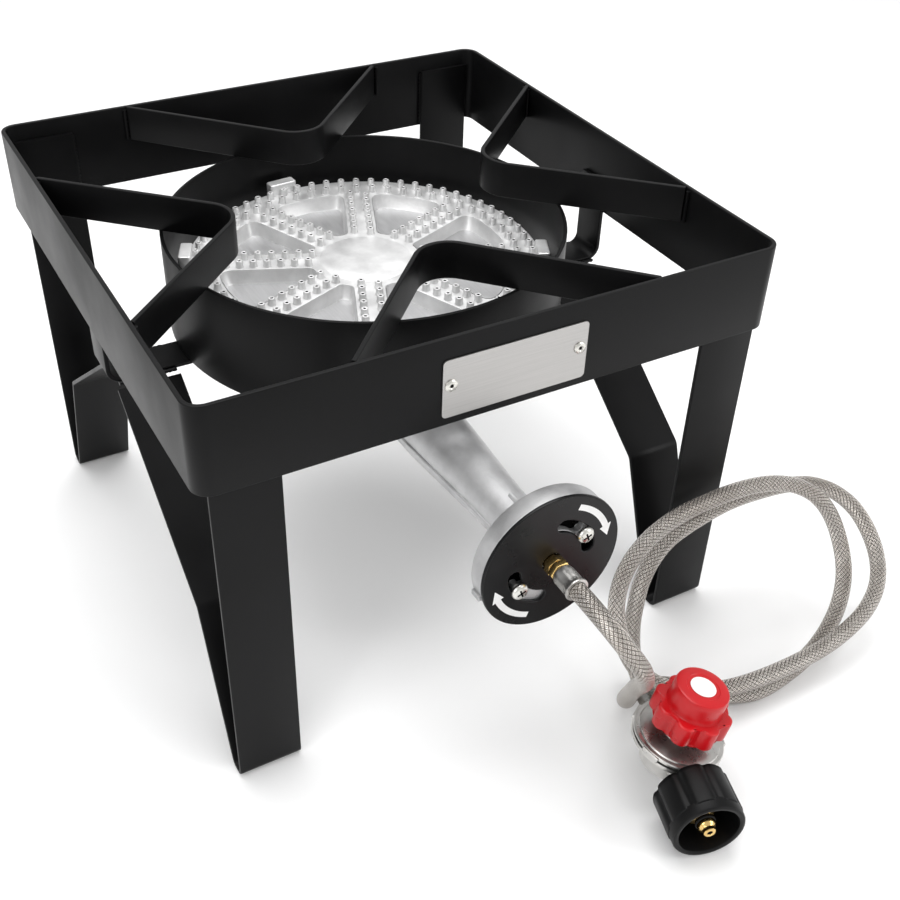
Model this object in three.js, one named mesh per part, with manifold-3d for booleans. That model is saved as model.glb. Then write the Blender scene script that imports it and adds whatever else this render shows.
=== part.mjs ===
// Square outdoor propane burner stand: a welded strip-steel frame with four V-shaped pot supports,
// a cast jet burner with its air shutter, and a braided hose that ends in an adjustable regulator.
// Millimetres, +Z up. Inside the stand group the origin is on the floor, below the burner's centre.
import * as THREE from 'three';
import { mergeVertices } from 'three/addons/utils/BufferGeometryUtils.js';
import Module from 'manifold-3d';

const wasm = await Module();
wasm.setup();

// ---- driving dimensions -------------------------------------------------------------------
const SIDE = 400; // outer side of the square rim
const HEIGHT = 305; // floor to rim top
const STRIP = 3; // thickness of every steel strip
const BAND_HEIGHT = 60;
const CORNER_RADIUS = 12;
const GAP = 0.3; // clearance between neighbours that meet on a curved or turned face
const WELD = 0.05; // clearance left where a flat weld would be

const SUPPORT_HEIGHT = 26;
const SUPPORT_HALF_SPAN = 104; // from the middle of a side to each weld
const SUPPORT_NOSE = 96; // centre of the stand to the nose of each V
const SUPPORT_NOSE_RADIUS = 24;

const RING_RADIUS = 141;
const RING_WALL = 2.5;
const BAR_TOP = 209; // top of the crossbar, which carries the ring and the burner
const BAR_WIDTH = 28;
const BAR_END_TOP = 270;

const LEG_WIDTH = 43.5;
const LEG_OUTER_X = 192;
const LEG_TOP = 293;
const LEG_KINK = { y: 142, z: 111 };
const LEG_INSET = 1.2; // the legs' outer strips stand this far inside the rim, clear of its corners
const FOOT_WIDTH = 15;

const PLATE = { width: 100, height: 40, thickness: 1.2, middle: HEIGHT - 34 };
const RIVET_SPACING = 89;

const HEAD_RADIUS = 127; // ten-inch burner
const HEAD_TOP = 246;
const HEAD_PLATE = 4;
const SPOKES = 8;
const SPOKE_HALF_WIDTH = 11;
const POCKET = { inner: 40, outer: 104, depth: 10 };
const TUBE_Z = 161; // height of the mixing tube's axis
const ELBOW = { y: -50, radius: 36, outer: 23, inner: 18 };
const THROAT = { outer: 16.7, inner: 12 };
const FLANGE = { radius: 48.5, back: -238, front: -252, web: 5 };

const SHUTTER = { radius: 49.5, thickness: 2.5, back: -252.3 };
const SLOT = { pitch: 26.7, halfWidth: 4.5, from: 5, to: 75 };
const PORT = { from: 45, to: 100 };
const SCREW_ANGLE = 31;
const SCREW = { shank: 2.2, hole: 2.5, head: 5.8, headHeight: 3.4, length: 12 };

const SPUD = { hex: 12, shank: 5.5, front: -261, back: -236 };
const LUG = { angles: [95, 155, 275, 335], width: 22, thickness: 4, top: 254 };
const BOLT = { shank: 4, hole: 4.5, head: 5.3, length: 16, washerLow: 203.4, washerHigh: 205.8 };

const FLARE_NUT = { hex: 13, length: 4.7 };
const HOSE_RADIUS = 6;
const HOSE_REST = 6.6; // height of the hose's middle line where it lies on the floor
const HOSE_EXIT = { y: -283.3, z: TUBE_Z };

// The hose drops to the floor, makes one and a half loose turns that lean against the front right
// leg, and comes down over its first turn to the regulator. The leads are hand-set points.
const HOSE_LEAD_IN = [
  [0, HOSE_EXIT.y, HOSE_EXIT.z], [0, -293, 161], [2, -311, 157], [8, -325, 146],
  [17, -331, 130], [26, -326, 111], [36, -314, 90], [45, -300, 68], [53, -288, 47],
  [59, -278.5, 27], [66.5, -269, 14.5], [78, -262.5, 9], [92, -261.5, 7],
  [106, -268, 6.6], [120, -281, 6.6], [137, -295, 6.6],
];
const COIL = {
  turns: 1.5,
  pointsPerTurn: 24,
  middle: { x: 158, z: 66 },
  drift: 19, // how far the middle moves to the right in one turn
  halfWidth: 104,
  widen: 8, // in one turn
  halfHeight: 59.4,
  flatten: 17, // in one turn
  squareness: 0.85, // 1 is a true ellipse
  footY: -303,
  slope: 1.1, // rise over run of the plane that the coil lies in
};
const HOSE_LEAD_OUT = [
  [136, -213, 92], [117, -219, 85], [104, -225, 73], [97, -230.5, 60], [91, -237, 47],
  [85.5, -247, 34], [81.5, -258, 27], [78, -268.6, 25.5],
];

const SPRING = { radius: 6.5, low: 15.3, rise: 9.6, wire: 0.9 };
const REGULATOR = { x: 61, y: -326, z: 25.5, yaw: -16.5, roll: 13 };
const NUT = { radius: 25, flute: 1.6, front: -66, back: -32, bore: 20, flutes: 8 };
const KNOB = { radius: 25.5, lobe: 3.2, lobes: 8, bottom: 28, skirtTop: 43, cap: 18, top: 59 };

// ---- materials ----------------------------------------------------------------------------
function material(color, roughness, metalness) {
  return new THREE.MeshStandardMaterial({ color, roughness, metalness });
}
const blackPaint = material(0x171717, 0.55, 0.2);
const castAluminium = material(0xc9cbce, 0.45, 0.8);
const zinc = material(0xa9abad, 0.4, 0.9);
const steel = material(0xb8b8b6, 0.3, 1);
const brass = material(0xc9a04a, 0.3, 1);
const braid = material(0xb3aca5, 0.45, 0.8);
const redPlastic = material(0xd3161c, 0.3, 0);
const blackPlastic = material(0x1b1b1c, 0.5, 0);
const blackGloss = material(0x262626, 0.3, 0.3);
const rubber = material(0x202020, 0.8, 0);
const white = material(0xf2f2ee, 0.5, 0);

// ---- booleans -----------------------------------------------------------------------------
// Every closed surface is turned so that its faces point out.
function outward(geometry) {
  const position = geometry.attributes.position;
  const index = geometry.index;
  const corners = [new THREE.Vector3(), new THREE.Vector3(), new THREE.Vector3()];
  const count = index ? index.count : position.count;
  let volume = 0;
  for (let i = 0; i < count; i += 3) {
    corners.forEach((corner, k) => {
      corner.fromBufferAttribute(position, index ? index.getX(i + k) : i + k);
    });
    volume += corners[0].dot(corners[1].clone().cross(corners[2]));
  }
  if (volume > 0) {
    return geometry;
  }
  const order = [];
  for (let i = 0; i < count; i += 3) {
    for (const k of [0, 2, 1]) {
      order.push(index ? index.getX(i + k) : i + k);
    }
  }
  geometry.setIndex(order);
  return geometry;
}

function toSolid(geometry) {
  const bare = geometry.clone();
  bare.deleteAttribute('normal');
  bare.deleteAttribute('uv');
  const merged = mergeVertices(bare, 1e-4);
  return new wasm.Manifold(new wasm.Mesh({
    numProp: 3,
    vertProperties: new Float32Array(merged.attributes.position.array),
    triVerts: new Uint32Array(merged.index.array),
  }));
}

function combine(base, additions, cuts = []) {
  let solid = toSolid(base);
  for (const addition of additions) {
    solid = solid.add(toSolid(addition));
  }
  for (const cut of cuts) {
    solid = solid.subtract(toSolid(cut));
  }
  const mesh = solid.getMesh();
  const geometry = new THREE.BufferGeometry();
  geometry.setAttribute('position', new THREE.BufferAttribute(mesh.vertProperties, 3));
  geometry.setIndex(new THREE.BufferAttribute(mesh.triVerts, 1));
  return geometry;
}

// ---- outlines -----------------------------------------------------------------------------
function polar(radius, degrees) {
  const angle = THREE.MathUtils.degToRad(degrees);
  return new THREE.Vector2(radius * Math.cos(angle), radius * Math.sin(angle));
}

// A polyline whose inner corners are rounded with the given radii.
function roundedPath(points, radii, steps = 4) {
  const path = [points[0]];
  for (let i = 1; i < points.length - 1; i += 1) {
    const radius = radii[i - 1];
    const corner = points[i];
    const back = points[i - 1].clone().sub(corner).normalize();
    const ahead = points[i + 1].clone().sub(corner).normalize();
    const half = Math.acos(THREE.MathUtils.clamp(back.dot(ahead), -1, 1)) / 2;
    const start = corner.clone().addScaledVector(back, radius / Math.tan(half));
    const end = corner.clone().addScaledVector(ahead, radius / Math.tan(half));
    const middle = back.clone().add(ahead).normalize();
    const centre = corner.clone().addScaledVector(middle, radius / Math.sin(half));
    const from = start.clone().sub(centre).angle();
    let turn = end.clone().sub(centre).angle() - from;
    if (turn > Math.PI) {
      turn -= 2 * Math.PI;
    }
    if (turn < -Math.PI) {
      turn += 2 * Math.PI;
    }
    for (let step = 0; step <= steps; step += 1) {
      const angle = from + (turn * step) / steps;
      path.push(new THREE.Vector2(Math.cos(angle), Math.sin(angle)).multiplyScalar(radius).add(centre));
    }
  }
  path.push(points[points.length - 1]);
  return path;
}

// The outline of a strip whose middle line is the path. flushStart and flushEnd, where given, are
// the heights of the level faces that its two ends are cut to.
function stripOutline(path, flushStart = null, flushEnd = null) {
  const sides = [[], []];
  path.forEach((point, i) => {
    const arriving = point.clone().sub(path[Math.max(i - 1, 0)]).normalize();
    const leaving = path[Math.min(i + 1, path.length - 1)].clone().sub(point).normalize();
    const along = arriving.clone().add(leaving).normalize();
    const isEnd = i === 0 || i === path.length - 1;
    const reach = STRIP / 2 / (isEnd ? 1 : along.dot(leaving));
    const flush = i === 0 ? flushStart : isEnd ? flushEnd : null;
    sides.forEach((side, k) => {
      const sign = k === 0 ? reach : -reach;
      const corner = new THREE.Vector2(point.x - along.y * sign, point.y + along.x * sign);
      if (flush !== null) {
        corner.addScaledVector(along, (flush - corner.y) / along.y);
      }
      side.push(corner);
    });
  });
  return new THREE.Shape([...sides[0], ...sides[1].reverse()]);
}

function roundedRect(width, height, radius) {
  const shape = new THREE.Shape();
  const x = width / 2 - radius;
  const y = height / 2 - radius;
  shape.absarc(x, -y, radius, -Math.PI / 2, 0);
  shape.absarc(x, y, radius, 0, Math.PI / 2);
  shape.absarc(-x, y, radius, Math.PI / 2, Math.PI);
  shape.absarc(-x, -y, radius, Math.PI, 1.5 * Math.PI);
  return shape;
}

function polygon(sides, acrossFlats) {
  const radius = acrossFlats / 2 / Math.cos(Math.PI / sides);
  const corners = [];
  for (let i = 0; i < sides; i += 1) {
    corners.push(polar(radius, (360 * (i + 0.5)) / sides));
  }
  return new THREE.Shape(corners);
}

function circle(radius, sides) {
  return polygon(sides, 2 * radius * Math.cos(Math.PI / sides));
}

// A curved slot of constant width, its two end centres at the angles from and to.
function arcSlot(pitch, halfWidth, from, to) {
  const outline = [];
  const steps = 6;
  for (let i = 0; i <= steps; i += 1) {
    outline.push(polar(pitch + halfWidth, from + ((to - from) * i) / steps));
  }
  for (const turn of [45, 90, 135]) {
    outline.push(polar(pitch, to).add(polar(halfWidth, to + turn)));
  }
  for (let i = steps; i >= 0; i -= 1) {
    outline.push(polar(pitch - halfWidth, from + ((to - from) * i) / steps));
  }
  for (const turn of [225, 270, 315]) {
    outline.push(polar(pitch, from).add(polar(halfWidth, from + turn)));
  }
  return outline;
}

// A round outline with soft dips between its lobes.
function lobed(radius, dip, lobes, steps = 8) {
  const outline = [];
  for (let i = 0; i < lobes * steps; i += 1) {
    const wave = (0.5 - 0.5 * Math.cos((2 * Math.PI * i) / steps)) ** 2;
    outline.push(polar(radius - dip * wave, (360 * i) / (lobes * steps)));
  }
  return new THREE.Shape(outline);
}

// The floor of one pocket between two spokes of the burner head.
function pocketOutline(spokeAngle) {
  const outline = [];
  const pitch = 360 / SPOKES;
  for (const [radius, steps, reversed] of [[POCKET.outer, 6, false], [POCKET.inner, 2, true]]) {
    const inset = THREE.MathUtils.radToDeg(Math.asin(SPOKE_HALF_WIDTH / radius));
    for (let i = 0; i <= steps; i += 1) {
      const share = (reversed ? steps - i : i) / steps;
      outline.push(polar(radius, spokeAngle + inset + (pitch - 2 * inset) * share));
    }
  }
  return new THREE.Shape(outline);
}

// ---- solids -------------------------------------------------------------------------------
function extrude(shape, depth, bottom = 0, curveSegments = 6) {
  const geometry = new THREE.ExtrudeGeometry(shape, { depth, bevelEnabled: false, curveSegments });
  geometry.translate(0, 0, bottom);
  return outward(geometry);
}

// The shape's (x, y) become (y, z), and it runs along +X from startX.
function extrudeAlongX(shape, depth, startX) {
  const geometry = extrude(shape, depth);
  geometry.rotateX(Math.PI / 2);
  geometry.rotateZ(Math.PI / 2);
  geometry.translate(startX, 0, 0);
  return geometry;
}

// The shape's (x, y) become (x, z), and it runs along -Y from startY.
function extrudeAlongY(shape, depth, startY) {
  const geometry = extrude(shape, depth);
  geometry.rotateX(Math.PI / 2);
  geometry.translate(0, startY, 0);
  return geometry;
}

// Revolved about Z from (radius, z) pairs.
function revolve(profile, segments = 24) {
  const points = profile.map(([radius, height]) => new THREE.Vector2(radius, height));
  const geometry = new THREE.LatheGeometry(points, segments);
  geometry.rotateX(Math.PI / 2);
  return outward(geometry);
}

// Revolved about Y from (radius, y) pairs.
function revolveY(profile, segments = 24) {
  const points = profile.map(([radius, y]) => new THREE.Vector2(radius, y));
  return outward(new THREE.LatheGeometry(points, segments));
}

function tube(curve, radius, sides, steps) {
  const section = circle(radius, sides);
  return outward(new THREE.ExtrudeGeometry(section, { extrudePath: curve, steps }));
}

function place(name, geometry, finish, parent) {
  const mesh = new THREE.Mesh(geometry, finish);
  mesh.name = name;
  parent.add(mesh);
  return mesh;
}

// ---- steel frame --------------------------------------------------------------------------
function buildFrame(parent) {
  const rim = roundedRect(SIDE, SIDE, CORNER_RADIUS);
  rim.holes.push(roundedRect(SIDE - 2 * STRIP, SIDE - 2 * STRIP, CORNER_RADIUS - STRIP));
  const band = extrude(rim, BAND_HEIGHT, HEIGHT - BAND_HEIGHT);
  place('frame_band', band, blackPaint, parent);

  const inner = RING_RADIUS - RING_WALL;
  const low = BAR_TOP + WELD;
  const high = HEIGHT - SUPPORT_HEIGHT - WELD;
  const ring = revolve([
    [inner, low], [RING_RADIUS, low], [RING_RADIUS, high], [inner, high], [inner, low],
  ], 64);
  place('wind_guard_ring', ring, blackPaint, parent);
  buildPotSupports(parent);
  buildCrossbar(parent);
  buildLegs(parent);
}

// Each support is a strip bent to a V: two arms tangent to the arc of its nose.
function buildPotSupports(parent) {
  const inside = SIDE / 2 - STRIP - WELD;
  const radius = SUPPORT_NOSE_RADIUS - STRIP / 2;
  const depth = inside - SUPPORT_NOSE - SUPPORT_NOSE_RADIUS;
  const reach = Math.hypot(SUPPORT_HALF_SPAN, depth);
  const half = Math.atan2(SUPPORT_HALF_SPAN, depth) + Math.acos(radius / reach) - Math.PI / 2;
  const apexY = -inside + SUPPORT_HALF_SPAN / Math.tan(half);
  const corners = [
    new THREE.Vector2(-SUPPORT_HALF_SPAN, -inside),
    new THREE.Vector2(0, apexY),
    new THREE.Vector2(SUPPORT_HALF_SPAN, -inside),
  ];
  const outline = stripOutline(roundedPath(corners, [radius], 12), -inside, -inside);
  ['front', 'right', 'back', 'left'].forEach((side, i) => {
    const support = extrude(outline, SUPPORT_HEIGHT, HEIGHT - SUPPORT_HEIGHT);
    support.rotateZ((i * Math.PI) / 2);
    place(`pot_support_${side}`, support, blackPaint, parent);
  });
}

// The crossbar runs under the ring and turns up the inner faces of the left and right sides.
function buildCrossbar(parent) {
  const endX = SIDE / 2 - STRIP - WELD - STRIP / 2;
  const middleZ = BAR_TOP - STRIP / 2;
  const corners = [[-endX, BAR_END_TOP], [-endX, middleZ], [endX, middleZ], [endX, BAR_END_TOP]];
  const path = roundedPath(corners.map(([x, z]) => new THREE.Vector2(x, z)), [9, 9]);
  const bar = extrudeAlongY(stripOutline(path), BAR_WIDTH, BAR_WIDTH / 2);
  const hole = extrude(circle(BOLT.hole, 16), 3 * STRIP, middleZ - 1.5 * STRIP);
  place('burner_crossbar', combine(bar, [], [hole]), blackPaint, parent);
}

// A leg goes down the inside of the rim, turns under to make the foot, and comes back up
// with one kink to the edge of the crossbar.
function buildLegs(parent) {
  const outerY = SIDE / 2 - STRIP - LEG_INSET - STRIP / 2;
  const footZ = STRIP / 2;
  const rise = BAR_TOP - 2.2 * STRIP;
  const corners = [
    [-outerY, LEG_TOP], [-outerY, footZ], [-outerY + FOOT_WIDTH - STRIP, footZ],
    [-LEG_KINK.y, LEG_KINK.z], [-BAR_WIDTH / 2 - STRIP, rise],
  ];
  const path = roundedPath(corners.map(([y, z]) => new THREE.Vector2(y, z)), [5, 5, 8]);
  const outline = stripOutline(path);
  for (const [side, sideSign] of [['left', -1], ['right', 1]]) {
    for (const [end, endSign] of [['front', 1], ['back', -1]]) {
      const startX = sideSign > 0 ? LEG_OUTER_X - LEG_WIDTH : -LEG_OUTER_X;
      const leg = extrudeAlongX(outline, LEG_WIDTH, startX);
      if (endSign < 0) {
        leg.rotateZ(Math.PI);
        leg.translate(2 * startX + LEG_WIDTH, 0, 0);
      }
      place(`leg_${end}_${side}`, leg, blackPaint, parent);
    }
  }
}

function buildNamePlate(parent) {
  const front = -SIDE / 2 - WELD;
  const plateShape = roundedRect(PLATE.width, PLATE.height, 3);
  const rivetZ = PLATE.middle + 2.5;
  const plate = extrudeAlongY(plateShape, PLATE.thickness, front);
  plate.translate(0, 0, PLATE.middle);
  place('name_plate', plate, steel, parent);
  const headBack = front - PLATE.thickness - WELD;
  for (const [side, sign] of [['left', -1], ['right', 1]]) {
    const rivet = revolveY([[0, headBack], [4.2, headBack], [3.6, headBack - 1], [1.6, headBack - 1.6],
      [1.2, headBack - 1], [0, headBack - 1]], 12);
    rivet.translate((sign * RIVET_SPACING) / 2, 0, rivetZ);
    place(`plate_rivet_${side}`, rivet, steel, parent);
  }
}

// ---- burner -------------------------------------------------------------------------------
function buildBurner(parent) {
  place('burner_bowl', burnerBowl(), castAluminium, parent);
  place('burner_jet_plate', jetPlate(), castAluminium, parent);

  const washer = revolve([[4.3, BOLT.washerLow], [9, BOLT.washerLow], [9, BOLT.washerHigh],
    [4.3, BOLT.washerHigh], [4.3, BOLT.washerLow]], 16);
  place('mount_washer', washer, steel, parent);
  const boltHead = extrude(polygon(6, 13), BOLT.head, BOLT.washerLow - GAP - BOLT.head);
  const shank = extrude(circle(BOLT.shank, 12), BOLT.length, BOLT.washerLow - GAP - 1);
  place('mount_bolt', combine(boltHead, [shank]), steel, parent);
}

// The lower casting: a shallow bowl, the elbow, the mixing tube and its flange, all hollow.
function burnerBowl() {
  const rimZ = HEAD_TOP - HEAD_PLATE - GAP;
  const seat = BAR_TOP + WELD;
  const bowl = revolve([
    [0, seat], [18, seat], [40, seat + 3], [90, seat + 9], [117, rimZ - 12], [HEAD_RADIUS, rimZ - 3],
    [HEAD_RADIUS, rimZ], [122, rimZ], [112, rimZ - 9], [88, seat + 13], [40, seat + 7],
    [14, seat + 5], [12, seat + 16], [0, seat + 16],
  ], 48);
  const elbowPath = (overrun) => {
    const points = [new THREE.Vector3(0, ELBOW.y, seat + 6 + overrun)];
    const centreY = ELBOW.y - ELBOW.radius;
    const centreZ = TUBE_Z + ELBOW.radius;
    for (let i = 0; i <= 6; i += 1) {
      const offset = polar(ELBOW.radius, -15 * i);
      points.push(new THREE.Vector3(0, centreY + offset.x, centreZ + offset.y));
    }
    points.push(new THREE.Vector3(0, centreY - 4, TUBE_Z));
    return new THREE.CatmullRomCurve3(points);
  };
  const joint = ELBOW.y - ELBOW.radius - 2;
  const outside = revolveY([
    [0, joint], [ELBOW.outer, joint], [20.5, -135], [THROAT.outer, -200], [THROAT.outer, -226],
    [20, -235], [24, FLANGE.back], [FLANGE.radius - 2, FLANGE.back], [FLANGE.radius, FLANGE.back - 2],
    [FLANGE.radius, FLANGE.front], [0, FLANGE.front],
  ], 32);
  const webBack = FLANGE.front + FLANGE.web;
  const inside = revolveY([
    [0, joint + 2], [ELBOW.inner, joint + 2], [15.5, -135], [THROAT.inner, -200],
    [THROAT.inner, -236], [35, -242], [35, webBack], [0, webBack],
  ], 24);
  outside.translate(0, 0, TUBE_Z);
  inside.translate(0, 0, TUBE_Z);
  const cuts = [tube(elbowPath(8), ELBOW.inner, 16, 10), inside];
  cuts.push(extrude(circle(BOLT.hole, 16), 14, BAR_TOP - 1));
  const throughWeb = (shape) => {
    const cut = extrudeAlongY(shape, FLANGE.web + 4, webBack + 2);
    cut.translate(0, 0, TUBE_Z);
    cuts.push(cut);
  };
  throughWeb(circle(SPUD.shank + GAP, 16));
  for (const half of [0, 180]) {
    throughWeb(new THREE.Shape(arcSlot(SLOT.pitch, SLOT.halfWidth, PORT.from + half, PORT.to + half)));
    const centre = polar(SLOT.pitch, SCREW_ANGLE + half);
    const hole = circle(SCREW.hole, 12).getPoints().map((point) => point.add(centre));
    throughWeb(new THREE.Shape(hole));
  }
  return combine(bowl, [tube(elbowPath(0), ELBOW.outer, 24, 10), outside], cuts);
}

// The top casting: gas passes under the spokes and the rim, and the pockets between them are blind.
function jetPlate() {
  const low = HEAD_TOP - HEAD_PLATE;
  const trayLow = HEAD_TOP - POCKET.depth - 3;
  const disc = extrude(circle(HEAD_RADIUS, 48), HEAD_PLATE, low);
  const trays = extrude(circle(POCKET.outer + 3, 48), low - trayLow + 1, trayLow);
  const cuts = [extrude(circle(POCKET.inner - 4, 32), low - trayLow + 1, trayLow - 1)];
  const additions = [trays];
  for (let i = 0; i < SPOKES; i += 1) {
    const angle = (360 / SPOKES) * (i + 0.5);
    cuts.push(extrude(pocketOutline(angle), POCKET.depth + 1, HEAD_TOP - POCKET.depth));
    const channel = new THREE.BoxGeometry(POCKET.outer + 8, 2 * SPOKE_HALF_WIDTH - 6, low - trayLow + 1);
    channel.translate((POCKET.outer + 8) / 2, 0, (low + trayLow - 1) / 2);
    channel.rotateZ(THREE.MathUtils.degToRad(angle));
    cuts.push(channel);
  }
  for (const angle of LUG.angles) {
    const lug = new THREE.BoxGeometry(LUG.thickness, LUG.width, LUG.top - low);
    lug.translate(HEAD_RADIUS - 1, 0, (LUG.top + low) / 2);
    lug.rotateZ(THREE.MathUtils.degToRad(angle));
    additions.push(lug);
  }
  return combine(disc, additions, cuts);
}

// ---- air shutter and gas inlet ------------------------------------------------------------
function buildShutter(parent) {
  const front = SHUTTER.back - SHUTTER.thickness;
  const face = circle(SHUTTER.radius, 64);
  for (const half of [0, 180]) {
    const slot = arcSlot(SLOT.pitch, SLOT.halfWidth, SLOT.from + half, SLOT.to + half);
    face.holes.push(new THREE.Path(slot));
  }
  face.holes.push(new THREE.Path(circle(SPUD.shank + 0.8, 16).getPoints()));
  const disc = extrudeAlongY(face, SHUTTER.thickness, SHUTTER.back);
  place('air_shutter_disc', disc, blackGloss, parent).position.z = TUBE_Z;

  const headBack = front - GAP;
  for (const [side, half] of [['right', 0], ['left', 180]]) {
    const headFront = headBack - SCREW.headHeight;
    const screw = revolveY([
      [0, headBack + SCREW.length], [SCREW.shank, headBack + SCREW.length], [SCREW.shank, headBack],
      [SCREW.head, headBack], [SCREW.head, headBack - 1.4], [SCREW.head - 2, headFront],
      [0, headFront],
    ], 20);
    const recess = [0, 90].map((turn) => {
      const bar = new THREE.BoxGeometry(5.6, 4, 1.1);
      bar.translate(0, headFront, 0);
      bar.rotateY(THREE.MathUtils.degToRad(turn + 20));
      return bar;
    });
    const centre = polar(SLOT.pitch, SCREW_ANGLE + half);
    const mesh = place(`shutter_screw_${side}`, combine(screw, [], recess), steel, parent);
    mesh.position.set(centre.x, 0, TUBE_Z + centre.y);
  }

  const spudHex = extrudeAlongY(polygon(6, SPUD.hex), headBack - SPUD.front, headBack);
  const spudShank = revolveY([[0, headBack - 1], [SPUD.shank, headBack - 1],
    [SPUD.shank, SPUD.back + 1], [SPUD.shank - 1, SPUD.back], [0, SPUD.back]], 16);
  const orifice = revolveY([[0, SPUD.front - 1], [2.5, SPUD.front - 1], [2.5, SPUD.back - 3],
    [0.8, SPUD.back - 3], [0.8, SPUD.back + 1], [0, SPUD.back + 1]], 12);
  const spud = combine(spudHex, [spudShank], [orifice]);
  place('orifice_spud', spud, brass, parent).position.z = TUBE_Z;
}

// ---- hose ---------------------------------------------------------------------------------
function hollowFerrule(from, to, name, parent) {
  const ferrule = revolveY([
    [3, from], [6.6, from], [7.5, from - 2], [7.5, to + 3], [8, to + 2], [8, to], [3, to], [3, from],
  ], 20);
  return place(name, ferrule, zinc, parent);
}

// The coil's turns, from the floor up. They lie in a leaning plane, except that the first turn's
// top stands off it, and the second turn starts in front of the first and ends behind it.
function coilTurns() {
  const stops = [];
  const { smoothstep } = THREE.MathUtils;
  const squared = (value) => Math.sign(value) * Math.abs(value) ** COIL.squareness;
  for (let step = 0; step <= COIL.turns * COIL.pointsPerTurn; step += 1) {
    const turn = step / COIL.pointsPerTurn;
    const angle = 2 * Math.PI * (turn - 0.25);
    const halfWidth = COIL.halfWidth + COIL.widen * turn;
    const halfHeight = COIL.halfHeight - COIL.flatten * turn;
    const x = COIL.middle.x + COIL.drift * turn + halfWidth * squared(Math.cos(angle));
    const z = COIL.middle.z + halfHeight * squared(Math.sin(angle));
    const forward = 12 * smoothstep(turn, 0.1, 0.5) + 8 * smoothstep(turn, 0.8, 1.1);
    const backward = 30 * smoothstep(turn, 1.12, 1.4);
    stops.push([x, COIL.footY + (z - HOSE_REST) / COIL.slope - forward + backward, z]);
  }
  return stops;
}

function buildHose(parent) {
  const nutFront = SPUD.front - GAP - FLARE_NUT.length;
  const nutHex = extrudeAlongY(polygon(6, FLARE_NUT.hex), FLARE_NUT.length, SPUD.front - GAP);
  const bore = extrudeAlongY(circle(3, 12), FLARE_NUT.length + 4, SPUD.front + 2);
  const flareNut = place('hose_flare_nut', combine(nutHex, [], [bore]), brass, parent);
  flareNut.position.z = TUBE_Z;
  const ferrule = hollowFerrule(nutFront - GAP, HOSE_EXIT.y + GAP, 'hose_ferrule_burner', parent);
  ferrule.position.z = TUBE_Z;

  const stops = [...HOSE_LEAD_IN, ...coilTurns(), ...HOSE_LEAD_OUT];
  const points = stops.map(([x, y, z]) => new THREE.Vector3(x, y, z));
  const route = new THREE.CatmullRomCurve3(points, false, 'centripetal');
  place('hose', tube(route, HOSE_RADIUS, 10, 78), braid, parent);
}

// ---- regulator ----------------------------------------------------------------------------
// Its own frame: origin on the gas line below the diaphragm, -Y towards the cylinder nut,
// +Z up the adjusting screw.
function buildRegulator(parent) {
  const yaw = new THREE.Group();
  yaw.position.set(REGULATOR.x, REGULATOR.y, REGULATOR.z);
  yaw.rotation.z = THREE.MathUtils.degToRad(REGULATOR.yaw);
  parent.add(yaw);
  const group = new THREE.Group();
  group.rotation.y = THREE.MathUtils.degToRad(REGULATOR.roll);
  yaw.add(group);

  const lower = revolve([
    [0, -13], [15, -13], [19, -10], [20, 0], [20, 6], [31, 8], [31, 11], [24, 11], [22, 9],
    [16, 8], [16, -8], [0, -8],
  ], 32);
  const line = revolveY([[0, -31], [8, -31], [8, 33], [0, 33]], 20);
  const chamber = revolve([[0, -8], [16, -8], [16, 8], [22, 9], [24, 12], [0, 12]], 24);
  const bore = revolveY([[0, -32], [3, -32], [3, 34], [0, 34]], 12);
  place('regulator_body', combine(lower, [line], [chamber, bore]), zinc, group);

  const diaphragm = revolve([[0, 11.3], [28, 11.3], [28, 12.2], [0, 12.2]], 32);
  place('diaphragm', diaphragm, rubber, group);
  const bonnet = revolve([
    [13.5, 12.5], [31, 12.5], [31, 15], [27, 15.5], [15, 15.8], [12.5, 17.5], [12.5, 32],
    [11, 34], [4.3, 34], [4.3, 31], [10, 31], [10, 17], [13.5, 15.2], [13.5, 12.5],
  ], 32);
  place('regulator_bonnet', bonnet, zinc, group);

  place('diaphragm_plate', revolve([[0, 12.5], [10, 12.5], [10, 14], [0, 14]], 20), steel, group);
  const poppet = revolve([[0, -4.5], [5, -4.5], [5, -2.5], [1.5, -2.5], [1.5, 11], [0, 11]], 12);
  place('valve_poppet', poppet, brass, group);

  const coil = [];
  const turns = 4;
  for (let i = 0; i <= turns * 12; i += 1) {
    const around = polar(SPRING.radius, 30 * i);
    coil.push(new THREE.Vector3(around.x, around.y, SPRING.low + (SPRING.rise * i) / (turns * 12)));
  }
  const springCurve = new THREE.CatmullRomCurve3(coil);
  place('regulator_spring', tube(springCurve, SPRING.wire, 6, turns * 12), steel, group);
  const button = revolve([[0, 26.3], [9, 26.3], [9, 28], [4, 28.6], [0, 28.6]], 20);
  place('spring_button', button, steel, group);
  const screw = revolve([[0, 28.9], [3.9, 28.9], [3.9, 52.5], [0, 52.5]], 16);
  place('adjusting_screw', screw, brass, group);

  buildKnob(group);
  buildCylinderNut(group);
  hollowFerrule(58.7, 33.3, 'hose_ferrule_regulator', group);
}

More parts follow.
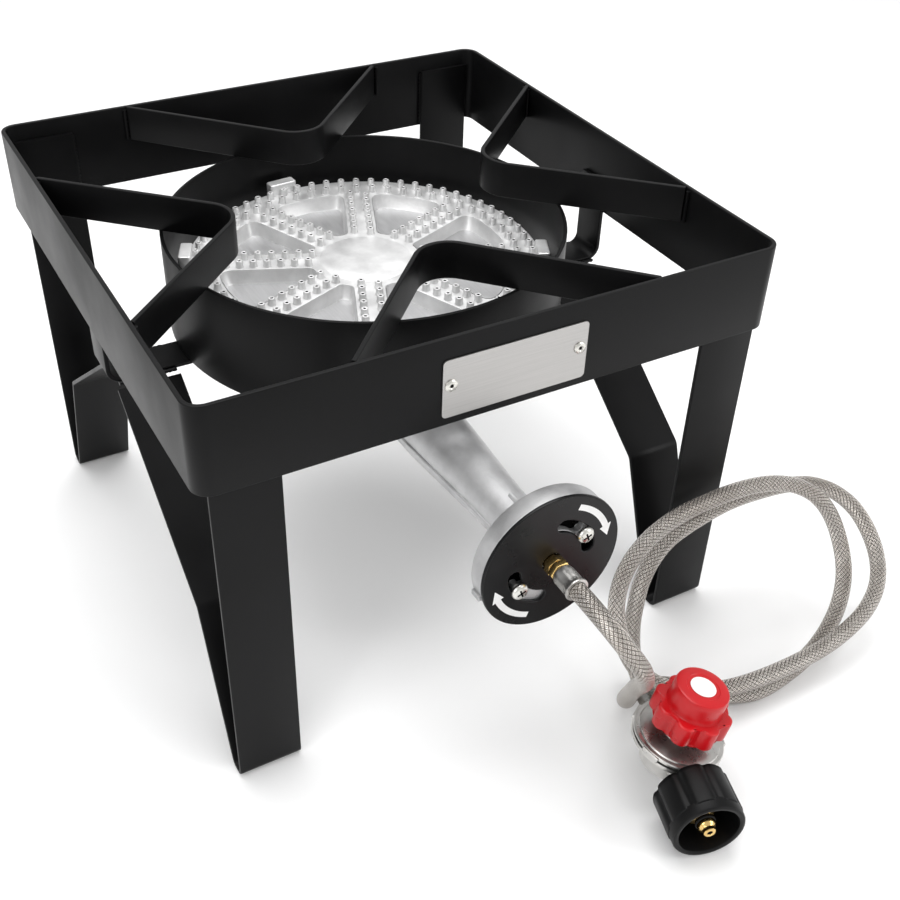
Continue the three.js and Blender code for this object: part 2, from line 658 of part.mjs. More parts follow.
function buildKnob(group) {
  const skirt = extrude(lobed(KNOB.radius, KNOB.lobe, KNOB.lobes), KNOB.skirtTop - KNOB.bottom, KNOB.bottom);
  const cap = revolve([
    [0, KNOB.skirtTop - 2], [KNOB.cap, KNOB.skirtTop - 2], [KNOB.cap, KNOB.top - 3],
    [KNOB.cap - 1.2, KNOB.top - 0.8], [KNOB.cap - 4, KNOB.top], [0, KNOB.top],
  ], 32);
  const hollow = revolve([
    [0, KNOB.bottom - 1], [22, KNOB.bottom - 1], [22, KNOB.skirtTop - 3], [16.3, KNOB.skirtTop - 3],
    [16.3, KNOB.top - 4], [7, KNOB.top - 4], [7, KNOB.skirtTop + 1], [4.2, KNOB.skirtTop + 1],
    [4.2, 52.8], [0, 52.8],
  ], 24);
  place('regulator_knob', combine(skirt, [cap], [hollow]), redPlastic, group);
  const low = KNOB.top + GAP;
  place('knob_label', revolve([[0, low], [9.8, low], [9.8, low + 0.5], [0, low + 0.5]], 32), white, group);
}

function buildCylinderNut(group) {
  const depth = NUT.back - NUT.front;
  const shell = extrudeAlongY(lobed(NUT.radius, NUT.flute, NUT.flutes), depth, NUT.back);
  const socket = revolveY([
    [0, NUT.front - 1], [NUT.bore, NUT.front - 1], [NUT.bore, NUT.back - 4], [8.4, NUT.back - 4],
    [8.4, NUT.back + 1], [0, NUT.back + 1],
  ], 32);
  place('cylinder_nut', combine(shell, [], [socket]), blackPlastic, group);

  const nipple = revolveY([
    [0, -31.3], [7.4, -31.3], [7.4, -37.5], [12.5, -37.5], [12.5, -42], [8, -42], [8, -53],
    [5.6, -55], [5.6, -56.2], [4.6, -56.2], [4.6, -58.2], [5.6, -58.2], [5.2, -60], [3, -61.5],
    [3, -64], [0, -64],
  ], 20);
  const bore = revolveY([[0, -30], [1.6, -30], [1.6, -65], [0, -65]], 10);
  place('inlet_nipple', combine(nipple, [], [bore]), brass, group);
  const ring = revolveY([
    [4.9, -56.4], [6.4, -56.4], [6.4, -58], [4.9, -58], [4.9, -56.4],
  ], 20);
  place('nipple_seal', ring, rubber, group);
}

// ---- assembly -----------------------------------------------------------------------------
const stand = new THREE.Group();
buildFrame(stand);
buildNamePlate(stand);
buildBurner(stand);
buildShutter(stand);
buildHose(stand);
buildRegulator(stand);
// The fixed stand reaches from the orifice spud in front to the rim at the back: the origin goes
// under the middle of that length.
stand.position.y = -(SPUD.front + SIDE / 2) / 2;

export default stand;
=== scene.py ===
"""Propane burner stand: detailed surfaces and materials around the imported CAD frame.

Shapes are written in millimetres in the stand's own frame, with the burner's centre at x = y = 0
and the floor at z = 0, and moved to the CAD frame, in metres, when each piece is made.
"""
import math

import bpy
from mathutils import Matrix, Vector


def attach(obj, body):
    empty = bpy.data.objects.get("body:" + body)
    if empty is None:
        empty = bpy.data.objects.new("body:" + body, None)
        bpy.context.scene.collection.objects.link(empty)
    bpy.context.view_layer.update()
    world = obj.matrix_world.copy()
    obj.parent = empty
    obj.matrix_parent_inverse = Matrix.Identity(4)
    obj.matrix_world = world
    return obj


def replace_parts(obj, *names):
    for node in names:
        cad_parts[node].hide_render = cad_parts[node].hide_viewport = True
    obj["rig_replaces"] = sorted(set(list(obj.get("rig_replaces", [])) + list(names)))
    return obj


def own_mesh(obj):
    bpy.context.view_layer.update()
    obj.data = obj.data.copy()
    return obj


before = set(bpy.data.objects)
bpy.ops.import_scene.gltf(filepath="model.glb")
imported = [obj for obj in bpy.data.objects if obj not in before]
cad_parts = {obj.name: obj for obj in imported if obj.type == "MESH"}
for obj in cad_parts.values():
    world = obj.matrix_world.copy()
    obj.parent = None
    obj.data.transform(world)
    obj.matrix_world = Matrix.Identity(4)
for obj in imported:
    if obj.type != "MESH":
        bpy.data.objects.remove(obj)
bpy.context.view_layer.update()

# ---- driving dimensions, in mm --------------------------------------------------------------
STAND_OFFSET_Y = 30.5
SIDE = 400
HEIGHT = 305
STRIP = 3
RING_RADIUS = 141
BAR_TOP = 209
HEAD_TOP = 246
HEAD_RADIUS = 127
POCKET_INNER = 40
POCKET_OUTER = 104
SPOKE_HALF_WIDTH = 11
TUBE_Z = 161
FLANGE_RADIUS = 48.5
SCREW_ANGLE = 31
HOSE_RADIUS = 6
REGULATOR_PLACE = Vector((61, -326, 25.5))
REGULATOR_YAW = math.radians(-16.5)
REGULATOR_ROLL = math.radians(13)


# ---- camera, light and floor ----------------------------------------------------------------
def add_camera():
    data = bpy.data.cameras.new("camera")
    data.lens = 48.94
    data.sensor_width = 36
    data.clip_start = 0.01
    camera = bpy.data.objects.new("camera", data)
    camera.location = (-0.3393, -0.6694, 0.6714)
    camera.rotation_euler = [math.radians(angle) for angle in (52.477, -1.666, -29.376)]
    bpy.context.scene.collection.objects.link(camera)
    bpy.context.scene.camera = camera


def add_area_light(name, location, target, size, power):
    data = bpy.data.lights.new(name, "AREA")
    data.shape = "RECTANGLE"
    data.size, data.size_y = size
    data.energy = power
    light = bpy.data.objects.new(name, data)
    light.location = location
    light.rotation_euler = (Vector(target) - Vector(location)).to_track_quat("-Z", "Y").to_euler()
    bpy.context.scene.collection.objects.link(light)


def add_studio():
    world = bpy.data.worlds.new("studio")
    world.use_nodes = True
    background = world.node_tree.nodes["Background"]
    background.inputs["Color"].default_value = (1, 1, 1, 1)
    background.inputs["Strength"].default_value = 0.75
    bpy.context.scene.world = world
    bpy.context.scene.view_settings.view_transform = "Standard"
    middle = (0, 0, 0.15)
    add_area_light("overhead", (0.1, 0.3, 1.9), middle, (1.6, 1.2), 26)
    add_area_light("left_front", (-1.7, -0.9, 1.2), middle, (0.9, 1.4), 12)
    add_area_light("right_front", (1.3, -1.5, 1.0), middle, (0.8, 1.2), 12)
    bpy.ops.mesh.primitive_plane_add(size=12, location=(0, 0, -0.0004))
    floor = bpy.context.object
    floor.name = "studio_floor"
    floor.data.materials.append(make_material("floor", (0.93, 0.93, 0.93), roughness=0.9, specular=0.1))


# ---- materials ------------------------------------------------------------------------------
def make_material(name, color, metallic=0.0, roughness=0.5, specular=0.5, coat=0.0):
    material = bpy.data.materials.new(name)
    material.use_nodes = True
    shader = material.node_tree.nodes["Principled BSDF"]
    shader.inputs["Base Color"].default_value = (*color, 1)
    shader.inputs["Metallic"].default_value = metallic
    shader.inputs["Roughness"].default_value = roughness
    shader.inputs["Specular IOR Level"].default_value = specular
    shader.inputs["Coat Weight"].default_value = coat
    return material


def node(material, kind, **settings):
    made = material.node_tree.nodes.new(kind)
    for key, value in settings.items():
        setattr(made, key, value)
    return made


def link(material, source, target):
    material.node_tree.links.new(source, target)


def coordinates(material, scale=(1, 1, 1), output="Object", rotation=(0, 0, 0)):
    source = node(material, "ShaderNodeTexCoord")
    mapping = node(material, "ShaderNodeMapping")
    mapping.inputs["Scale"].default_value = scale
    mapping.inputs["Rotation"].default_value = rotation
    link(material, source.outputs[output], mapping.inputs["Vector"])
    return mapping.outputs["Vector"]


def noise(material, vector, scale, detail=3.0, roughness=0.55):
    made = node(material, "ShaderNodeTexNoise")
    made.inputs["Scale"].default_value = scale
    made.inputs["Detail"].default_value = detail
    made.inputs["Roughness"].default_value = roughness
    link(material, vector, made.inputs["Vector"])
    return made.outputs["Fac"]


def ramp(material, value, low, high, from_min=0.3, from_max=0.7):
    """The value between from_min and from_max, spread from low to high."""
    made = node(material, "ShaderNodeMapRange")
    made.inputs["From Min"].default_value = from_min
    made.inputs["From Max"].default_value = from_max
    made.inputs["To Min"].default_value = low
    made.inputs["To Max"].default_value = high
    link(material, value, made.inputs["Value"])
    return made.outputs["Result"]


def mix(material, factor, first, second):
    made = node(material, "ShaderNodeMix", data_type="RGBA")
    for socket, color in ((made.inputs[6], first), (made.inputs[7], second)):
        if isinstance(color, tuple):
            socket.default_value = (*color, 1)
        else:
            link(material, color, socket)
    link(material, factor, made.inputs[0])
    return made.outputs[2]


def maths(material, operation, *values):
    made = node(material, "ShaderNodeMath", operation=operation)
    for socket, value in zip(made.inputs, values):
        if isinstance(value, (int, float)):
            socket.default_value = value
        else:
            link(material, value, socket)
    return made.outputs[0]


def shader_input(material, name):
    return material.node_tree.nodes["Principled BSDF"].inputs[name]


def add_bump(material, height, distance, strength=1.0):
    bump = node(material, "ShaderNodeBump")
    bump.inputs["Strength"].default_value = strength
    bump.inputs["Distance"].default_value = distance
    link(material, height, bump.inputs["Height"])
    link(material, bump.outputs["Normal"], shader_input(material, "Normal"))


def black_paint():
    material = make_material("black_powder_coat", (0.004, 0.004, 0.0042), specular=0.13)
    place = coordinates(material)
    cloud = noise(material, place, 14)
    link(material, mix(material, ramp(material, cloud, 0, 1), (0.003, 0.003, 0.0032), (0.005, 0.005, 0.0053)),
         shader_input(material, "Base Color"))
    link(material, ramp(material, cloud, 0.34, 0.46), shader_input(material, "Roughness"))
    add_bump(material, noise(material, place, 900, 2), 0.00006, 0.6)
    return material


def cast_metal(name, color, dark, roughness=(0.34, 0.5), grain=1300, depth=0.00015, metallic=0.9):
    material = make_material(name, color, metallic=metallic)
    place = coordinates(material)
    patches = noise(material, place, 60, 4)
    link(material, mix(material, ramp(material, patches, 0, 1), dark, color),
         shader_input(material, "Base Color"))
    link(material, ramp(material, patches, *roughness), shader_input(material, "Roughness"))
    add_bump(material, noise(material, place, grain, 3, 0.7), depth, 0.7)
    return material


def brushed_metal(name, color, stretch, roughness=0.28, rotation=(0, 0, 0), depth=0.00004):
    """Fine scratches that run along the axis whose stretch is smallest."""
    material = make_material(name, color, metallic=1.0)
    place = coordinates(material, stretch, rotation=rotation)
    scratches = noise(material, place, 1.0, 4, 0.6)
    dark = tuple(channel * 0.86 for channel in color)
    link(material, mix(material, ramp(material, scratches, 0, 1), dark, color),
         shader_input(material, "Base Color"))
    link(material, ramp(material, scratches, roughness, roughness + 0.14),
         shader_input(material, "Roughness"))
    add_bump(material, scratches, depth, 0.5)
    return material


def moulded(name, color, roughness, specular=0.5, grain=0.00003):
    material = make_material(name, color, specular=specular)
    place = coordinates(material)
    cloud = noise(material, place, 45, 3)
    dark = tuple(channel * 0.82 for channel in color)
    link(material, mix(material, ramp(material, cloud, 0, 1), dark, color),
         shader_input(material, "Base Color"))
    link(material, ramp(material, cloud, roughness - 0.05, roughness + 0.07),
         shader_input(material, "Roughness"))
    add_bump(material, noise(material, place, 1500, 2), grain, 0.5)
    return material


def steel_braid():
    """Bundles of fine wire wound both ways round the hose. UV runs round it in turns, and along it
    in units of its own girth."""
    material = make_material("steel_braid", (0.45, 0.43, 0.40), metallic=1.0, roughness=0.26)
    source = node(material, "ShaderNodeUVMap", uv_map="UVMap")
    split = node(material, "ShaderNodeSeparateXYZ")
    link(material, source.outputs["UV"], split.inputs["Vector"])
    around, along = split.outputs["X"], split.outputs["Y"]
    bundles, advance = 24, 20
    turns = maths(material, "MULTIPLY", around, bundles)
    steps = maths(material, "MULTIPLY", along, advance)
    heights = []
    for direction in (1, -1):
        phase = maths(material, "ADD", turns, maths(material, "MULTIPLY", steps, direction))
        crown = maths(material, "ABSOLUTE", maths(material, "SINE",
                maths(material, "MULTIPLY", phase, math.pi)))
        wires = maths(material, "SINE", maths(material, "MULTIPLY", phase, 8 * math.pi))
        heights.append(maths(material, "ADD", crown, maths(material, "MULTIPLY", wires, 0.16)))
    over = maths(material, "SINE", maths(material, "MULTIPLY", turns, math.pi))
    over = maths(material, "MULTIPLY", over, maths(material, "SINE",
            maths(material, "MULTIPLY", steps, math.pi)))
    on_top = maths(material, "GREATER_THAN", over, 0)
    under = maths(material, "SUBTRACT", 1, on_top)
    height = maths(material, "ADD", maths(material, "MULTIPLY", heights[0], on_top),
                   maths(material, "MULTIPLY", heights[1], under))
    wear = noise(material, coordinates(material), 30, 3)
    bright = mix(material, ramp(material, wear, 0, 1), (0.58, 0.54, 0.5), (0.8, 0.77, 0.73))
    # Painted shade: the low parts of the weave, between the bundles and between the wires, are coloured dark
    # brown-grey; the crowns keep the wire colour.
    painted_gap_shade = ramp(material, height, 0, 1, 0.3, 0.95)
    link(material, mix(material, painted_gap_shade, (0.13, 0.105, 0.085), bright), shader_input(material, "Base Color"))
    add_bump(material, height, 0.0005, 1.0)
    return material


MATERIALS = {}


def add_materials():
    MATERIALS.update({
        "paint": black_paint(),
        "cast": cast_metal("cast_aluminium", (0.68, 0.68, 0.685), (0.52, 0.52, 0.525), (0.44, 0.58), 1000,
                           0.0003),
        "ground": cast_metal("shot_blasted_aluminium", (0.84, 0.84, 0.84), (0.66, 0.66, 0.66),
                             (0.38, 0.5), 700, 0.00012, 0.75),
        # Partly real, partly painted shade: the pocket floors have their own brushed finish, and their colour
        # is darkened to stand for the shade in the pockets.
        "pocket": brushed_metal("ground_pocket_floor_painted_shade", (0.52, 0.52, 0.525), (900, 60, 300), 0.42),
        "plate": brushed_metal("brushed_plate", (0.47, 0.46, 0.45), (25, 900, 1600), 0.3),
        "steel": cast_metal("plated_steel", (0.72, 0.71, 0.67), (0.58, 0.57, 0.53), (0.2, 0.32), 600,
                            0.00003, 1.0),
        "brass": cast_metal("turned_brass", (0.86, 0.62, 0.26), (0.72, 0.48, 0.17), (0.18, 0.3), 500,
                            0.00003, 1.0),
        "zinc": cast_metal("die_cast_zinc", (0.66, 0.65, 0.63), (0.48, 0.47, 0.45), (0.24, 0.42), 420,
                           0.0001, 0.95),
        "disc": moulded("gloss_black_disc", (0.006, 0.006, 0.0065), 0.3, 0.2),
        "red": moulded("red_plastic", (0.52, 0.004, 0.008), 0.3, 0.4),
        "black": moulded("black_plastic", (0.003, 0.003, 0.0032), 0.4, 0.16, 0.00006),
        "rubber": moulded("black_rubber", (0.012, 0.012, 0.012), 0.7, 0.3),
        "white": moulded("white_print", (0.86, 0.86, 0.85), 0.45, 0.4),
        # Painted shade: a near-black finish that lines bores, holes and recesses, where only shade falls.
        "bore_shade": moulded("painted_bore_shade", (0.01, 0.01, 0.01), 0.8, 0.1),
        "braid": steel_braid(),
    })


# ---- outlines and meshes --------------------------------------------------------------------
def polar(radius, degrees):
    angle = math.radians(degrees)
    return Vector((radius * math.cos(angle), radius * math.sin(angle)))


def rounded_path(points, radii, steps=8):
    """A polyline of 2-D points whose inner corners are rounded with the given radii."""
    path = [Vector(points[0])]
    for i, radius in enumerate(radii):
        corner = Vector(points[i + 1])
        back = (Vector(points[i]) - corner).normalized()
        ahead = (Vector(points[i + 2]) - corner).normalized()
        half = back.angle(ahead) / 2
        centre = corner + (back + ahead).normalized() * radius / math.sin(half)
        start = corner + back * radius / math.tan(half) - centre
        end = corner + ahead * radius / math.tan(half) - centre
        turn = math.atan2(start.cross(end), start.dot(end))
        for step in range(steps + 1):
            angle = turn * step / steps
            path.append(centre + Vector((
                start.x * math.cos(angle) - start.y * math.sin(angle),
                start.x * math.sin(angle) + start.y * math.cos(angle))))
    path.append(Vector(points[-1]))
    return path


def rounded_rectangle(width, height, radius, steps=6):
    outline = []
    for quarter, (sx, sy) in enumerate(((1, -1), (1, 1), (-1, 1), (-1, -1))):
        centre = Vector((sx * (width / 2 - radius), sy * (height / 2 - radius)))
        for step in range(steps + 1):
            outline.append(centre + polar(radius, -90 + 90 * quarter + 90 * step / steps))
    return outline


def circle(radius, sides=64, centre=(0, 0)):
    return [Vector(centre) + polar(radius, 360 * (i + 0.5) / sides) for i in range(sides)]


def arc_slot(pitch, half_width, start, end, steps=12):
    outline = [polar(pitch + half_width, start + (end - start) * i / steps) for i in range(steps + 1)]
    outline += [polar(pitch, end) + polar(half_width, end + 180 * i / 8) for i in range(1, 8)]
    outline += [polar(pitch - half_width, end + (start - end) * i / steps) for i in range(steps + 1)]
    outline += [polar(pitch, start) + polar(half_width, start + 180 + 180 * i / 8) for i in range(1, 8)]
    return outline


def lobed(radius, dip, lobes, steps=16, power=2.0, turn=0.0):
    outline = []
    for i in range(lobes * steps):
        wave = (0.5 - 0.5 * math.cos(2 * math.pi * i / steps)) ** power
        outline.append(polar(radius - dip * wave, turn + 360 * i / (lobes * steps)))
    return outline


def strip(path, width, thickness=STRIP, closed=False, edge=0.6):
    """A strip whose middle line is the 2-D path: (u, v) in the path's plane, w across the width."""
    section = []
    for quarter, (sn, sw) in enumerate(((1, 1), (-1, 1), (-1, -1), (1, -1))):
        centre = Vector((sn * (thickness / 2 - edge), width / 2 + sw * (width / 2 - edge)))
        section += [centre + polar(edge, 90 * quarter + 30 * step) for step in range(4)]
    count = len(path)
    verts, faces = [], []
    for i, point in enumerate(path):
        before = path[i - 1] if closed or i > 0 else point
        after = path[(i + 1) % count] if closed or i < count - 1 else point
        arriving = (point - before).normalized() if point != before else (after - point).normalized()
        leaving = (after - point).normalized() if point != after else arriving
        along = (arriving + leaving).normalized()
        stretch = 1 / max(along.dot(leaving), 0.5)
        normal = Vector((along.y, -along.x)) * stretch
        for n, w in section:
            at = point + normal * n
            verts.append((at.x, at.y, w))
    size = len(section)
    for i in range(count if closed else count - 1):
        for k in range(size):
            a, b = i * size + k, i * size + (k + 1) % size
            c, d = ((i + 1) % count) * size + (k + 1) % size, ((i + 1) % count) * size + k
            faces.append((a, b, c, d))
    if not closed:
        faces.append(tuple(range(size - 1, -1, -1)))
        faces.append(tuple(range((count - 1) * size, count * size)))
    return verts, faces


def lathe(profile, segments=48, wobble=None):
    """A closed body revolved about Z from (radius, z) pairs. wobble(angle, z) scales the radius."""
    verts, faces, rows = [], [], []
    for radius, z in profile:
        if radius < 1e-6:
            rows.append([len(verts)] * segments)
            verts.append((0, 0, z))
            continue
        rows.append([len(verts) + k for k in range(segments)])
        for k in range(segments):
            angle = 2 * math.pi * k / segments
            r = radius * (wobble(angle, z) if wobble else 1)
            verts.append((r * math.cos(angle), r * math.sin(angle), z))
    for low, high in zip(rows, rows[1:]):
        for k in range(segments):
            corners = [low[k], low[(k + 1) % segments], high[(k + 1) % segments], high[k]]
            face = [c for j, c in enumerate(corners) if c not in corners[:j]]
            if len(face) > 2:
                faces.append(tuple(face))
    return verts, faces


def sweep(path, radius, sides=24, caps=True):
    """A round bar along 3-D points. radius is a number or a function of the share of the way."""
    verts, faces = [], []
    side = None
    for i, point in enumerate(path):
        along = (path[min(i + 1, len(path) - 1)] - path[max(i - 1, 0)]).normalized()
        if side is None:
            side = along.orthogonal().normalized()
        side = (side - along * side.dot(along)).normalized()
        other = along.cross(side)
        r = radius(i / (len(path) - 1)) if callable(radius) else radius
        for k in range(sides):
            angle = 2 * math.pi * k / sides
            verts.append(tuple(point + side * r * math.cos(angle) + other * r * math.sin(angle)))
    for i in range(len(path) - 1):
        for k in range(sides):
            a, b = i * sides + k, i * sides + (k + 1) % sides
            faces.append((a, b, b + sides, a + sides))
    if caps:
        faces.append(tuple(range(sides - 1, -1, -1)))
        faces.append(tuple(range((len(path) - 1) * sides, len(path) * sides)))
    return verts, faces


def plate(outlines, bottom, top, edge=0.4, segments=2):
    """A flat plate between two heights from its outline and then its holes, with rounded edges."""
    curve = bpy.data.curves.new("plate", "CURVE")
    curve.dimensions = "2D"
    curve.fill_mode = "BOTH"
    for outline in outlines:
        spline = curve.splines.new("POLY")
        spline.points.add(len(outline) - 1)
        for point, corner in zip(spline.points, outline):
            point.co = (corner.x, corner.y, 0, 1)
        spline.use_cyclic_u = True
    curve.extrude = (top - bottom) / 2 - edge
    curve.bevel_depth = edge
    curve.bevel_resolution = segments
    curve.offset = -edge
    holder = bpy.data.objects.new("plate", curve)
    mesh = holder.to_mesh()
    middle = (top + bottom) / 2
    verts = [(v.co.x, v.co.y, v.co.z + middle) for v in mesh.vertices]
    faces = [tuple(polygon.vertices) for polygon in mesh.polygons]
    holder.to_mesh_clear()
    bpy.data.objects.remove(holder)
    bpy.data.curves.remove(curve)
    return verts, faces


def moved(shape, matrix):
    verts, faces = shape
    return [tuple(matrix @ Vector(v)) for v in verts], faces


def joined(shapes):
    verts, faces = [], []
    for shape_verts, shape_faces in shapes:
        start = len(verts)
        verts += shape_verts
        faces += [tuple(i + start for i in face) for face in shape_faces]
    return verts, faces


TO_XZ = Matrix(((1, 0, 0, 0), (0, 0, -1, 0), (0, 1, 0, 0), (0, 0, 0, 1)))
REGULATOR = (Matrix.Translation(REGULATOR_PLACE) @ Matrix.Rotation(REGULATOR_YAW, 4, "Z")
             @ Matrix.Rotation(REGULATOR_ROLL, 4, "Y"))
TO_FRAME = Matrix.Scale(0.001, 4) @ Matrix.Translation((0, STAND_OFFSET_Y, 0))


def facing_front(shape, z=TUBE_Z):
    """A shape drawn flat, its height then running towards the front, centred on the gas line."""
    return moved(shape, Matrix.Translation((0, 0, z)) @ TO_XZ)


def add_piece(name, parts, body, nodes, place=None, sharp=35):
    """One object from (shape, material name) pairs. It stands for the CAD nodes named."""
    verts, faces, indices, used = [], [], [], []
    for shape, material in parts:
        if material not in used:
            used.append(material)
        start = len(verts)
        verts += shape[0]
        faces += [tuple(i + start for i in face) for face in shape[1]]
        indices += [used.index(material)] * len(shape[1])
    matrix = TO_FRAME @ (place or Matrix.Identity(4))
    mesh = bpy.data.meshes.new(name)
    mesh.from_pydata([matrix @ Vector(v) for v in verts], [], faces)
    for material in used:
        mesh.materials.append(MATERIALS[material])
    mesh.polygons.foreach_set("material_index", indices)
    mesh.validate()
    mesh.shade_smooth()
    mesh.set_sharp_from_angle(angle=math.radians(sharp))
    piece = bpy.data.objects.new(name, mesh)
    bpy.context.scene.collection.objects.link(piece)
    bpy.context.view_layer.objects.active = piece
    bpy.ops.object.select_all(action="DESELECT")
    piece.select_set(True)
    bpy.ops.object.mode_set(mode="EDIT")
    bpy.ops.mesh.select_all(action="SELECT")
    bpy.ops.mesh.normals_make_consistent(inside=False)
    bpy.ops.object.mode_set(mode="OBJECT")
    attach(piece, body)
    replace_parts(piece, *nodes)
    return piece


# ---- hose -----------------------------------------------------------------------------------
# The hose drops to the floor, makes one and a half loose turns that lean against the front right
# leg, and comes down over its first turn to the regulator. The leads are listed points.
HOSE_REST = 6.6  # height of the hose's middle line where it lies on the floor
HOSE_LEAD_IN = [
    (0, -283.3, 161), (0, -293, 161), (2, -311, 157), (8, -325, 146),
    (17, -331, 130), (26, -326, 111), (36, -314, 90), (45, -300, 68), (53, -288, 47),
    (59, -278.5, 27), (66.5, -269, 14.5), (78, -262.5, 9), (92, -261.5, 7),
    (106, -268, 6.6), (120, -281, 6.6), (137, -295, 6.6),
]
COIL_TURNS = 1.5
COIL_POINTS_PER_TURN = 24
COIL_MIDDLE = (158, 66)
COIL_DRIFT = 19
COIL_HALF_WIDTH = 104
COIL_WIDEN = 8
COIL_HALF_HEIGHT = 59.4
COIL_FLATTEN = 17
COIL_SQUARENESS = 0.85
COIL_FOOT_Y = -303
COIL_SLOPE = 1.1
HOSE_LEAD_OUT = [
    (136, -213, 92), (117, -219, 85), (104, -225, 73), (97, -230.5, 60), (91, -237, 47),
    (85.5, -247, 34), (81.5, -258, 27), (78, -268.6, 25.5),
]


def smoothstep(value, low, high):
    share = min(max((value - low) / (high - low), 0), 1)
    return share * share * (3 - 2 * share)


def coil_turns():
    """The coil's turns, from the floor up, in a leaning plane. The second turn starts in front of
    the first and ends behind it."""
    def squared(value):
        return math.copysign(abs(value) ** COIL_SQUARENESS, value)
    stops = []
    for step in range(int(COIL_TURNS * COIL_POINTS_PER_TURN) + 1):
        turn = step / COIL_POINTS_PER_TURN
        angle = math.tau * (turn - 0.25)
        half_width = COIL_HALF_WIDTH + COIL_WIDEN * turn
        half_height = COIL_HALF_HEIGHT - COIL_FLATTEN * turn
        x = COIL_MIDDLE[0] + COIL_DRIFT * turn + half_width * squared(math.cos(angle))
        z = COIL_MIDDLE[1] + half_height * squared(math.sin(angle))
        forward = 12 * smoothstep(turn, 0.1, 0.5) + 8 * smoothstep(turn, 0.8, 1.1)
        backward = 30 * smoothstep(turn, 1.12, 1.4)
        stops.append((x, COIL_FOOT_Y + (z - HOSE_REST) / COIL_SLOPE - forward + backward, z))
    return stops


def smooth_curve(points, step):
    """A centripetal Catmull-Rom curve through the points, cut into steps of about this length."""
    first = points[0] * 2 - points[1]
    last = points[-1] * 2 - points[-2]
    padded = [first, *points, last]
    curve = []
    for p0, p1, p2, p3 in zip(padded, padded[1:], padded[2:], padded[3:]):
        t1 = (p1 - p0).length ** 0.5
        t2 = t1 + (p2 - p1).length ** 0.5
        t3 = t2 + (p3 - p2).length ** 0.5
        count = max(2, round((p2 - p1).length / step))
        for i in range(count):
            t = t1 + (t2 - t1) * i / count
            a1 = p0 * ((t1 - t) / t1) + p1 * (t / t1)
            a2 = p1 * ((t2 - t) / (t2 - t1)) + p2 * ((t - t1) / (t2 - t1))
            a3 = p2 * ((t3 - t) / (t3 - t2)) + p3 * ((t - t2) / (t3 - t2))
            b1 = a1 * ((t2 - t) / t2) + a2 * (t / t2)
            b2 = a2 * ((t3 - t) / (t3 - t1)) + a3 * ((t - t1) / (t3 - t1))
            curve.append(b1 * ((t2 - t) / (t2 - t1)) + b2 * ((t - t1) / (t2 - t1)))
    curve.append(points[-1])
    return curve


def add_hose():
    stops = [*HOSE_LEAD_IN, *coil_turns(), *HOSE_LEAD_OUT]
    path = smooth_curve([Vector(point) for point in stops], 3)
    sides = 20
    hose = add_piece("braided_hose", [(sweep(path, HOSE_RADIUS, sides), "braid")], "stand", ["hose"])
    layer = hose.data.uv_layers.new(name="UVMap")
    girth = 2 * math.pi * HOSE_RADIUS
    lengths = [0]
    for a, b in zip(path, path[1:]):
        lengths.append(lengths[-1] + (b - a).length)
    for polygon in hose.data.polygons:
        corners = [hose.data.loops[i].vertex_index for i in polygon.loop_indices]
        turns = [corner % sides for corner in corners]
        seam = len(corners) == 4 and max(turns) == sides - 1 and min(turns) == 0
        for loop, corner in zip(polygon.loop_indices, corners):
            around = corner % sides
            if seam and around == 0:
                around = sides
            layer.data[loop].uv = (around / sides, lengths[corner // sides] / girth)
    line = [tuple(TO_FRAME @ point) for point in path]
    fittings = ["hose_flare_nut", "hose_ferrule_burner", "hose_ferrule_regulator", "regulator_body",
                "regulator_bonnet", "diaphragm", "diaphragm_plate", "valve_poppet", "regulator_spring",
                "spring_button", "adjusting_screw", "regulator_knob", "knob_label", "cylinder_nut",
                "inlet_nipple", "nipple_seal"]
    return hose, line, fittings


# ---- steel frame ----------------------------------------------------------------------------
def weld_bead(start, end, radius=1.3):
    """A small rippled fillet from one point to another."""
    count = max(3, round((end - start).length / 1.6))
    path = [start.lerp(end, i / count) for i in range(count + 1)]
    return sweep(path, lambda share: radius * (1 + 0.14 * math.cos(share * count * math.pi)), 8)


